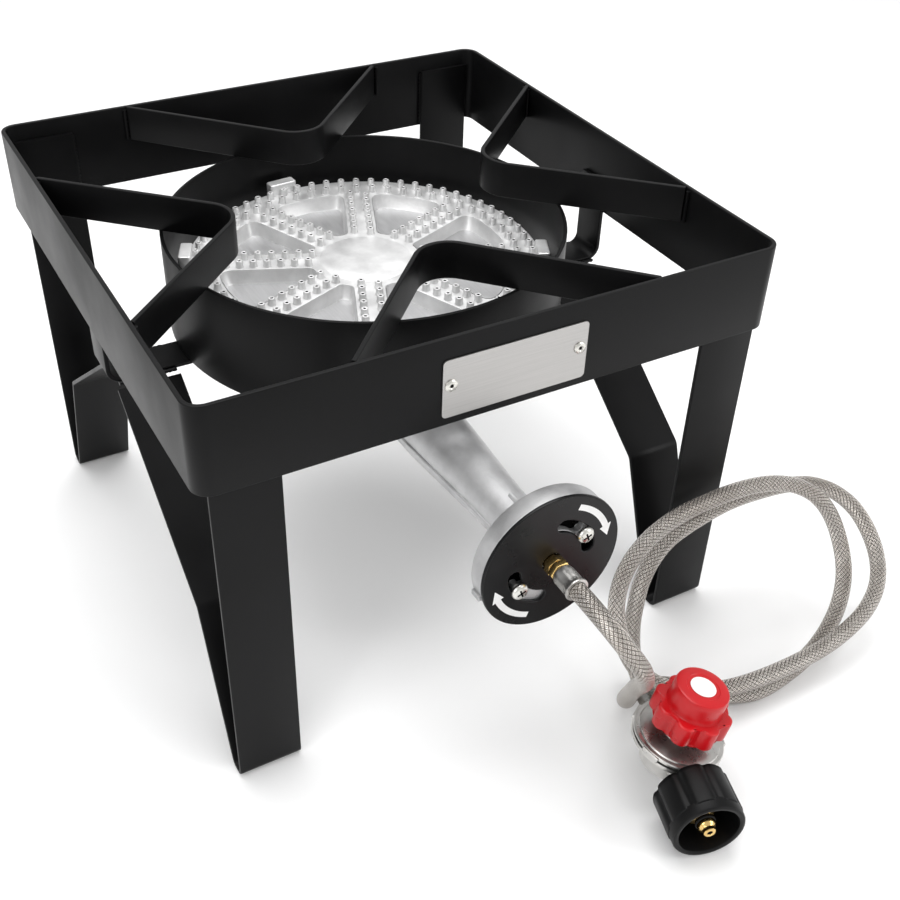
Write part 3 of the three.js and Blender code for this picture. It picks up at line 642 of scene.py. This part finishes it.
def add_frame():
    middle = SIDE - STRIP
    corner = 10.5
    rim = rounded_rectangle(middle, middle, corner, 10)
    band = moved(strip(rim, 60, closed=True), Matrix.Translation((0, 0, HEIGHT - 60)))
    add_piece("rim_band", [(band, "paint")], "stand", ["frame_band"])

    ring_line = circle(RING_RADIUS - 1.25, 128)
    ring = moved(strip(ring_line, 69.9, 2.5, True, 0.5), Matrix.Translation((0, 0, BAR_TOP + 0.05)))
    add_piece("wind_guard", [(ring, "paint")], "stand", ["wind_guard_ring"])

    inside = SIDE / 2 - STRIP - 0.05
    radius = 22.5
    depth = inside - 120
    reach = math.hypot(104, depth)
    half = math.atan2(104, depth) + math.acos(radius / reach) - math.pi / 2
    apex = -inside + 104 / math.tan(half)
    line = rounded_path([(-104, -inside), (0, apex), (104, -inside)], [radius], 24)
    for side in (0, -1):
        line[side] = line[side] + (line[side * 2 + 1] - line[side]).normalized() * 1.2
    for i, side in enumerate(("front", "right", "back", "left")):
        arm = moved(strip(line, 26), Matrix.Translation((0, 0, HEIGHT - 26)))
        beads = [weld_bead(Vector((sign * (104 + offset), -inside + 0.9, HEIGHT - 25)),
                           Vector((sign * (104 + offset), -inside + 0.9, HEIGHT - 2)))
                 for sign in (-1, 1) for offset in (2.8, -3.4)]
        turned = Matrix.Rotation(i * math.pi / 2, 4, "Z")
        add_piece(f"support_{side}", [(moved(joined([arm, *beads]), turned), "paint")], "stand",
                  [f"pot_support_{side}"])

    end_x = SIDE / 2 - STRIP - 0.05 - STRIP / 2
    middle_z = BAR_TOP - STRIP / 2
    line = rounded_path([(-end_x, 270), (-end_x, middle_z), (end_x, middle_z), (end_x, 270)], [9, 9])
    to_y = Matrix(((1, 0, 0, 0), (0, 0, 1, -14), (0, 1, 0, 0), (0, 0, 0, 1)))
    bar = moved(strip(line, 28), to_y)
    beads = [weld_bead(Vector((sign * (end_x + 1.1), y, 246)), Vector((sign * (end_x + 1.1), y, 268)))
             for sign in (-1, 1) for y in (-14.4, 14.4)]
    add_piece("crossbar", [(joined([bar, *beads]), "paint")], "stand", ["burner_crossbar"])
    add_legs()


def add_legs():
    outer = SIDE / 2 - STRIP - 1.2 - STRIP / 2
    corners = [(-outer, 293), (-outer, 1.5), (-outer + 12, 1.5), (-142, 111), (-17, BAR_TOP - 6.6)]
    line = rounded_path(corners, [5, 5, 8])
    for side, side_sign in (("left", -1), ("right", 1)):
        for end, end_sign in (("front", 1), ("back", -1)):
            start = 148.5 if side_sign > 0 else -192
            to_x = Matrix(((0, 0, 1, start), (1, 0, 0, 0), (0, 1, 0, 0), (0, 0, 0, 1)))
            leg = moved(strip(line, 43.5), to_x)
            beads = [weld_bead(Vector((start + x, -outer - 1.2, 248)), Vector((start + x, -outer - 1.2, 291)))
                     for x in (0.1, 43.4)]
            beads.append(weld_bead(Vector((start + 2, -15.7, 206.5)), Vector((start + 41.5, -15.7, 206.5))))
            leg = joined([leg, *beads])
            if end_sign < 0:
                leg = moved(leg, Matrix.Scale(-1, 4, (0, 1, 0)))
            add_piece(f"leg_{end}_{side}_bent", [(leg, "paint")], "stand", [f"leg_{end}_{side}"])


def add_name_plate():
    front = -SIDE / 2
    outline = rounded_rectangle(100, 40, 3)
    face = facing_front(plate([outline], -front + 0.05, -front + 1.25, 0.25), HEIGHT - 34)
    add_piece("blank_plate", [(face, "plate")], "stand", ["name_plate"], sharp=20)
    for side, sign in (("left", -1), ("right", 1)):
        head = lathe([(0, 1.3), (4.2, 1.3), (4.1, 1.9), (3.4, 2.5), (1.9, 2.7), (1.3, 2.2), (0, 2.2)], 24)
        head = moved(head, Matrix.Translation((sign * 44.5, 0, -front)))
        # Painted shade: a near-black disc at the bottom of the rivet's hollow head.
        dot = moved(lathe([(0, 2.1), (1.2, 2.1), (1.2, 2.25), (0, 2.25)], 16),
                    Matrix.Translation((sign * 44.5, 0, -front)))
        add_piece(f"rivet_{side}", [(facing_front(head, HEIGHT - 31.5), "steel"),
                                    (facing_front(dot, HEIGHT - 31.5), "bore_shade")], "stand",
                  [f"plate_rivet_{side}"])


# ---- burner ---------------------------------------------------------------------------------
def rounded_wedge(spoke_angle, inner, outer, radius):
    """A pocket between two spokes, its corners rounded."""
    corners = []
    for reach, shares in ((outer, (0, 0.25, 0.5, 0.75, 1)), (inner, (1, 0))):
        inset = math.degrees(math.asin(SPOKE_HALF_WIDTH / reach))
        for share in shares:
            corners.append(polar(reach, spoke_angle + inset + (45 - 2 * inset) * share))
    count = len(corners)
    outline = []
    for i, corner in enumerate(corners):
        sharp = i in (0, 4, 5, 6)
        if not sharp:
            outline.append(corner)
            continue
        bend = radius if i in (0, 4) else radius * 0.6
        loop = rounded_path([corners[i - 1], corner, corners[(i + 1) % count]], [bend], 5)
        outline += loop[1:-1]
    return outline


def scaled_about(outline, factor):
    middle = sum(outline, Vector((0, 0))) / len(outline)
    return [middle + (point - middle) * factor for point in outline]


def pocket_wall(spoke_angle, top, depth):
    """The sloping side of a pocket, from its mouth down to a smaller floor."""
    mouth = rounded_wedge(spoke_angle, POCKET_INNER, POCKET_OUTER, 7)
    floor = scaled_about(mouth, 0.93)
    count = len(mouth)
    rings = [(mouth, top + 0.3), (scaled_about(mouth, 0.99), top - 0.8), (floor, top - depth + 1.2),
             (scaled_about(floor, 0.97), top - depth)]
    verts, faces = [], []
    for ring, z in rings:
        verts += [(point.x, point.y, z) for point in ring]
    for row in range(len(rings) - 1):
        for k in range(count):
            a, b = row * count + k, row * count + (k + 1) % count
            faces.append((a, b, b + count, a + count))
    base = (len(rings) - 1) * count
    return (verts, faces), (verts[base:], [tuple(range(count))])


def jet_places():
    places = [polar(120.5, 360 * i / 64) for i in range(64)]
    places += [polar(109.5, 360 * (i + 0.5) / 56) for i in range(56)]
    for spoke in range(8):
        angle = 22.5 + 45 * spoke
        along = polar(1, angle)
        across = Vector((-along.y, along.x))
        for i in range(7):
            for side in (-1, 1):
                stagger = 1.6 * side if spoke % 2 else -1.2 * side
                places.append(along * (39.5 + 9.6 * i + stagger) + across * 5.9 * side)
    return places


def add_burner():
    top = HEAD_TOP
    pockets = [rounded_wedge(22.5 + 45 * i, POCKET_INNER, POCKET_OUTER, 7) for i in range(8)]
    deck = plate([circle(HEAD_RADIUS, 128), *pockets], top - 4, top, 0.7)
    walls, floors = zip(*(pocket_wall(22.5 + 45 * i, top, 10) for i in range(8)))
    under = lathe([(0, top - 14.2), (107, top - 14.2), (109, top - 12), (109, top - 2), (107, top - 2),
                   (107, top - 12.5), (0, top - 12.5)], 96)
    boss = lathe([(3.0, top - 0.5), (3.0, top + 0.6), (2.65, top + 1.2), (2.55, top + 4.2), (2.2, top + 4.9),
                  (1.3, top + 5.0), (1.0, top + 4.8)], 14)
    # Painted shade: each jet hole is lined with the near-black bore finish.
    bore = lathe([(1.0, top + 4.8), (0.9, top + 3.2), (0, top + 3.2)], 10)
    places = [Matrix.Translation((p.x, p.y, 0)) for p in jet_places()]
    lugs = []
    for angle in (95, 155, 275, 335):
        block = rounded_rectangle(9, 22, 1.8, 4)
        lug = plate([block], top - 3, 254.4, 0.9)
        lugs.append(moved(lug, Matrix.Rotation(math.radians(angle), 4,
                                               "Z") @ Matrix.Translation((126.6, 0, 0))))
    hub = lathe([(0, top - 0.5), (33, top - 0.5), (33, top + 0.15), (31.5, top + 0.5), (0, top + 0.5)], 64)
    add_piece("jet_plate", [
        # The pocket floors carry painted shade: they are darker than the deck.
        (deck, "ground"), (joined(walls), "ground"), (joined(floors), "pocket"), (under, "cast"),
        (joined([moved(boss, place) for place in places]), "ground"),
        (joined([moved(bore, place) for place in places]), "bore_shade"),
        (joined(lugs), "ground"), (hub, "ground"),
    ], "stand", ["burner_jet_plate"])
    add_bowl()
    add_mount_bolt()


def add_bowl():
    seat = BAR_TOP + 0.05
    rim = HEAD_TOP - 4.3
    bowl = lathe([
        (0, seat), (18, seat), (30, seat + 0.8), (40, seat + 3), (66, seat + 6), (90, seat + 9.4),
        (104, seat + 14),
        (117, rim - 12), (124, rim - 6.5), (127.4, rim - 4), (128, rim - 1), (127.4, rim), (122, rim),
        (112, rim - 9),
        (88, seat + 13), (40, seat + 7), (14, seat + 5), (12, seat + 16), (0, seat + 16)], 96)
    elbow = [Vector((0, -50, seat + 12)), Vector((0, -50, seat + 4)), Vector((0, -50, seat - 4))]
    for i in range(13):
        offset = polar(36, -7.5 * i)
        elbow.append(Vector((0, -86 + offset.x, TUBE_Z + 36 + offset.y)))
    elbow += [Vector((0, -94, TUBE_Z)), Vector((0, -104, TUBE_Z))]
    bend = sweep(elbow, 23, 48, caps=False)
    collar = moved(lathe([(23, seat - 6), (24.2, seat - 3), (27.5, seat + 1), (36, seat + 5.5)], 48),
                   Matrix.Translation((0, -50, 0)))
    tube = facing_front(lathe([
        (22.9, 98), (23, 104), (21.6, 128), (19.4, 160), (17.4, 190), (16.8, 208), (17, 220), (18.4, 229),
        (22, 235),
        (28, 237.6), (45.5, 238.2), (47.8, 238.9), (48.5, 240.5), (48.5, 251.4), (47.9, 252)], 96))
    face_holes = [circle(5.8, 24)]
    for half in (0, 180):
        face_holes.append(arc_slot(26.7, 4.5, 45 + half, 100 + half))
        face_holes.append(circle(2.5, 16, polar(26.7, SCREW_ANGLE + half)))
    web = facing_front(plate([circle(FLANGE_RADIUS - 0.1, 96), *face_holes], 247, 252, 0.3))
    # Painted shade: the funnel inside the mixing tube is lined with the near-black bore finish.
    bell = facing_front(lathe([(36, 247.2), (36, 242), (14, 236), (12, 200), (12, 170)], 48))
    ridges = []
    for sign in (-1, 1):
        line = [Vector((sign * r, -y, TUBE_Z)) for r, y in
                ((23, 92), (23.2, 104), (21.8, 128), (19.6, 160), (17.6, 190), (17, 208), (17.2, 220),
                 (18.8, 229.5), (23, 236))]
        ridges.append(sweep(line, 1.3, 10))
    web_rib = [Vector((0, -y, TUBE_Z + r)) for r, y in ((16.9, 205), (17.2, 218), (19.5, 230), (25, 236.5),
            (33, 238))]
    ridges.append(sweep(web_rib, 2.2, 12))
    notch = moved(plate([rounded_rectangle(4, 9, 0.8, 3)], 0, 2.2, 0.3),
                  Matrix.Translation((-46.6, -246, TUBE_Z - 14)) @ Matrix.Rotation(math.radians(-90), 4, "Y"))
    add_piece("bowl_and_mixing_tube", [(joined([bowl, bend, collar, tube, web, *ridges, notch]), "cast"),
                                       (bell, "bore_shade")],
              "stand", ["burner_bowl"], sharp=32)


def add_mount_bolt():
    low, high = 203.4, 205.8
    washer = lathe([(4.4, low), (9, low), (9.3, low + 0.4), (9.3, high - 0.4), (9, high), (4.4, high),
                    (4.4, low)], 32)
    add_piece("washer", [(washer, "steel")], "stand", ["mount_washer"])
    hexagon = [polar(7.5, 60 * i) for i in range(6)]
    head = plate([hexagon], low - 5.6, low - 0.3, 0.6)
    shank = lathe([(0, low - 1), (4, low - 1), (4, low + 14), (3.2, low + 15), (0, low + 15)], 24)
    add_piece("bolt", [(joined([head, shank]), "steel")], "stand", ["mount_bolt"])


# ---- air shutter and gas inlet --------------------------------------------------------------
def arc_arrow(pitch, start, tip, width=4.2, head=8.5):
    """A curved arrow. start and tip are angles; the head takes the last part."""
    sign = 1 if tip > start else -1
    neck = tip - sign * 13
    steps = 14
    outer = [polar(pitch + width / 2, start + (neck - start) * i / steps) for i in range(steps + 1)]
    inner = [polar(pitch - width / 2, start + (neck - start) * i / steps) for i in range(steps, -1, -1)]
    barbs = [polar(pitch + head / 2, neck), polar(pitch, tip), polar(pitch - head / 2, neck)]
    return outer + barbs + inner


def add_shutter():
    slots = [arc_slot(26.7, 4.5, 5 + half, 75 + half) for half in (0, 180)]
    disc = plate([circle(49.5, 128), *slots, circle(6.3, 32)], 252.3, 254.8, 0.8, 3)
    lip = lathe([(48.2, 254.6), (48.9, 254.9), (49.3, 254.7), (49.5, 254.2), (49.5, 252.8), (48.2, 252.8),
                 (48.2, 254.6)], 128)
    arrows = [plate([arc_arrow(41, 66, 8)], 254.7, 254.86, 0.02, 0),
              plate([arc_arrow(41, 249, 191)], 254.7, 254.86, 0.02, 0)]
    add_piece("shutter_disc", [(facing_front(disc), "disc"), (facing_front(lip), "disc"),
                               (facing_front(joined(arrows)), "white")], "air_shutter",
              ["air_shutter_disc"], sharp=25)
    for side, half in (("right", 0), ("left", 180)):
        at = polar(26.7, SCREW_ANGLE + half)
        place = Matrix.Translation((at.x, at.y, 0))
        head = lathe([(0, 243.2), (2.2, 243.2), (2.2, 255.0), (5.6, 255.1), (5.8, 255.5), (5.75, 256.5),
                      (5.1, 257.7), (3.9, 258.4), (0, 258.55)], 36)
        # Painted shade: the cross recess is drawn as near-black bars on the head.
        cross = []
        for turn in (20, 110):
            bar = plate([rounded_rectangle(6.2, 1.25, 0.5, 3)], 257.9, 258.62, 0.05, 0)
            cross.append(moved(bar, Matrix.Rotation(math.radians(turn), 4, "Z")))
        add_piece(f"shutter_screw_{side}_pan", [(facing_front(moved(head, place)), "steel"),
                                                (facing_front(moved(joined(cross), place)), "bore_shade")],
                  "stand", [f"shutter_screw_{side}"])

    hexagon = [polar(6.93, 60 * i + 30) for i in range(6)]
    spud = [plate([hexagon], 255.1, 261, 0.5), lathe([(0, 236), (4.5, 236), (5.5, 237), (5.5, 256),
            (0, 256)], 32)]
    add_piece("gas_spud", [(facing_front(joined(spud)), "brass")], "stand", ["orifice_spud"])


def add_flare_fitting():
    """The brass nut and crimped ferrule that end the hose at the burner."""
    hexagon = [polar(7.5, 60 * i) for i in range(6)]
    nut = facing_front(joined([plate([hexagon], 261.3, 266, 0.7),
                               lathe([(0, 260.9), (4.4, 260.9), (4.4, 266.4), (0, 266.4)], 24)]))
    add_piece("flare_nut", [(nut, "brass")], "stand", ["hose_flare_nut"])
    add_piece("burner_ferrule", [(facing_front(crimped_ferrule(266.3, 283)), "zinc")],
              "stand", ["hose_ferrule_burner"])


def crimped_ferrule(start, end):
    """A ferrule with eight crimped flats and a plain flared lip at the hose's end."""
    def crimp(angle, z):
        share = (z - start) / (end - start)
        return 1 - (0.055 * abs(math.cos(4 * angle)) ** 3 if 0.12 < share < 0.8 else 0)
    rows = [(3, start), (6.4, start), (6.9, start + 0.5), (7.1, start + 1.4)]
    rows += [(7.45, start + (end - start) * share) for share in (0.13, 0.3, 0.5, 0.65, 0.79)]
    rows += [(7.5, start + (end - start) * 0.82), (7.9, end - 1.6), (8.1, end - 0.9), (7.9, end - 0.2),
             (6.2, end)]
    return lathe(rows, 64, crimp)


# ---- regulator ------------------------------------------------------------------------------
def add_part(name, parts, body, nodes, sharp=35):
    return add_piece(name, parts, body, nodes, REGULATOR, sharp)


def along_line(shape):
    """A shape revolved about Z, laid along the regulator's gas line so that +Z becomes -Y."""
    return moved(shape, Matrix.Rotation(math.radians(90), 4, "X"))


def add_regulator():
    shell = lathe([(0, -13), (14, -13), (17, -12), (19, -10), (20, -4), (20, 4), (21, 6.2), (29.6, 7.6),
                   (30.8, 8.4),
                   (31, 9.8), (30.6, 11), (24, 11), (0, 11)], 72)
    pipe = along_line(lathe([(0, -33), (8, -33), (8.4, -32), (8.4, -22), (10, -19), (10, 17), (9, 20),
                             (8.4, 30), (7.8, 31),
                             (0, 31)], 40))
    outlet = along_line(plate([[polar(8.6, 60 * i) for i in range(6)]], -32.8, -25, 0.6))
    add_part("regulator_casting", [(joined([shell, pipe, outlet]), "zinc")], "stand", ["regulator_body"])
    sheet = lathe([(0, 11.3), (28, 11.3), (28, 12.2), (0, 12.2)], 64)
    diaphragm = add_part("diaphragm_sheet", [(sheet, "rubber")], "stand", ["diaphragm"])
    bonnet = lathe([(13.5, 12.5), (30.4, 12.5), (31, 13.1), (31, 14.4), (30.3, 15.2), (28, 15.4),
                    (27.4, 16.2), (24, 16.9),
                    (16, 17.5), (13.4, 18.5), (12.5, 20.5), (12.5, 32), (11.4, 33.6), (4.3, 34), (4.3, 31),
                    (10, 31), (10, 17),
                    (13.5, 15.5), (13.5, 12.5)], 72)
    tabs = []
    for angle in (-150, -78, -6, 66, 138):
        tab = plate([rounded_rectangle(3, 13, 0.8, 3)], 11.2, 14.8, 0.4)
        tabs.append(moved(tab, Matrix.Rotation(math.radians(angle), 4,
                                               "Z") @ Matrix.Translation((30.2, 0, 0))))
    add_part("bonnet_casting", [(joined([bonnet, *tabs]), "zinc")], "stand", ["regulator_bonnet"])

    disc = lathe([(0, 12.5), (9.6, 12.5), (10, 12.8), (10, 13.6), (9.6, 14), (0, 14)], 40)
    add_part("diaphragm_disc", [(disc, "steel")], "valve", ["diaphragm_plate"])
    poppet = lathe([(0, -4.5), (4.6, -4.5), (5, -4), (5, -2.5), (1.5, -2.5), (1.5, 11), (0, 11)], 24)
    add_part("poppet", [(poppet, "brass")], "valve", ["valve_poppet"])
    turns = 4
    coil = [Vector((*polar(6.5, 15 * i), 15.3 + 9.6 * i / (24 * turns))) for i in range(24 * turns + 1)]
    spring = add_part("coil_spring", [(sweep(coil, 0.9, 10), "steel")], "stand", ["regulator_spring"])
    button = lathe([(0, 26.3), (8.7, 26.3), (9, 26.6), (9, 27.7), (8.6, 28), (4, 28.6), (0, 28.6)], 36)
    add_part("button", [(button, "steel")], "screw_carriage", ["spring_button"])
    screw = lathe([(0, 28.9), (3.3, 28.9), (3.9, 29.5), (3.9, 52.5), (0, 52.5)], 24)
    add_part("screw_stem", [(screw, "brass")], "knob", ["adjusting_screw"])

    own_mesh(spring)
    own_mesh(diaphragm)
    add_knob()
    add_cylinder_nut()
    add_part("regulator_ferrule", [(along_line(moved(crimped_ferrule(33.3, 58.7),
            Matrix.Rotation(math.pi, 4, "X"))), "zinc")],
             "stand", ["hose_ferrule_regulator"])


def add_knob():
    skirt = plate([lobed(26.2, 4.6, 8, 20, 1.6, 8), circle(22, 48)], 28, 43, 1.0, 3)
    roof = plate([lobed(25.6, 4.6, 8, 20, 1.6, 8), circle(16.5, 48)], 40, 43.1, 1.0, 3)
    cap = lathe([(16.3, 40), (19.4, 42.6), (18.6, 44), (18.4, 46), (18.3, 54), (18.2, 57.4), (17.6, 58.6),
                 (16.6, 59),
                 (11.4, 59.1), (11, 58.7), (0, 58.7)], 72)
    inside = lathe([(0, 52.8), (4.2, 52.8), (4.2, 44), (7, 44), (7, 55), (16.3, 55), (16.3, 40)], 48)
    add_part("knob_moulding", [(joined([skirt, roof, cap, inside]), "red")], "knob", ["regulator_knob"],
             40)
    label = lathe([(0, 58.9), (8.6, 58.9), (8.6, 59.2), (8.3, 59.35), (0, 59.35)], 48)
    add_part("label_disc", [(label, "white")], "knob", ["knob_label"], 25)


def add_cylinder_nut():
    grip = lobed(25, 1.8, 8, 20, 6.0, 22.5)
    body = joined([plate([grip, circle(20, 64)], 32, 60, 1.2, 3),
                   plate([grip, circle(9.8, 48)], 32, 36, 1.2, 3),
                   lathe([(20, 58), (24.4, 58), (24.2, 64.4), (23.6, 65.6), (22.6, 66), (21.4, 66),
                          (20.3, 65.4), (20, 64.6),
                          (20, 58)], 64)])
    add_part("nut_moulding", [(along_line(body), "black")], "nut",
             ["cylinder_nut"], 38)
    hexagon = [polar(11.5, 60 * i) for i in range(6)]
    collar = plate([hexagon], 37.5, 42, 0.7)
    nipple = lathe([(0, 31.3), (7.4, 31.3), (7.4, 42), (8.6, 42), (8.6, 54.2), (8, 55), (6.4, 56.2),
                    (6, 56.8), (6, 57.6),
                    (5, 57.6), (5, 59.8), (6.2, 59.8), (6.1, 61.4), (5.2, 62.8), (4.2, 63.6), (4, 64.2),
                    (4, 66.2),
                    (3.6, 66.6), (1.9, 66.6), (1.8, 66.4)], 40)
    # Painted shade: a near-black lining at the bottom of the nipple's bore.
    bore = lathe([(1.8, 66.4), (1.8, 62), (0, 62)], 20)
    fins = [moved(plate([rounded_rectangle(1.4, 20.6, 0.3, 2)], 43, 53.5, 0.2),
                  Matrix.Rotation(math.radians(60 * i), 4, "Z")) for i in range(3)]
    add_part("nipple", [(along_line(joined([collar, nipple, *fins])), "brass"), (along_line(bore), "bore_shade")],
             "stand",
             ["inlet_nipple"])
    ring = lathe([(5.2, 57.9), (6.2, 57.9), (6.8, 58.3), (6.8, 59.1), (6.2, 59.5), (5.2, 59.5),
                  (5.2, 57.9)], 32)
    add_part("seal_ring", [(along_line(ring), "rubber")], "stand", ["nipple_seal"])


# ---- the whole ------------------------------------------------------------------------------
add_camera()
add_materials()
add_studio()
hose, hose_line, hose_fittings = add_hose()
add_frame()
add_name_plate()
add_burner()
add_shutter()
add_flare_fitting()
add_regulator()
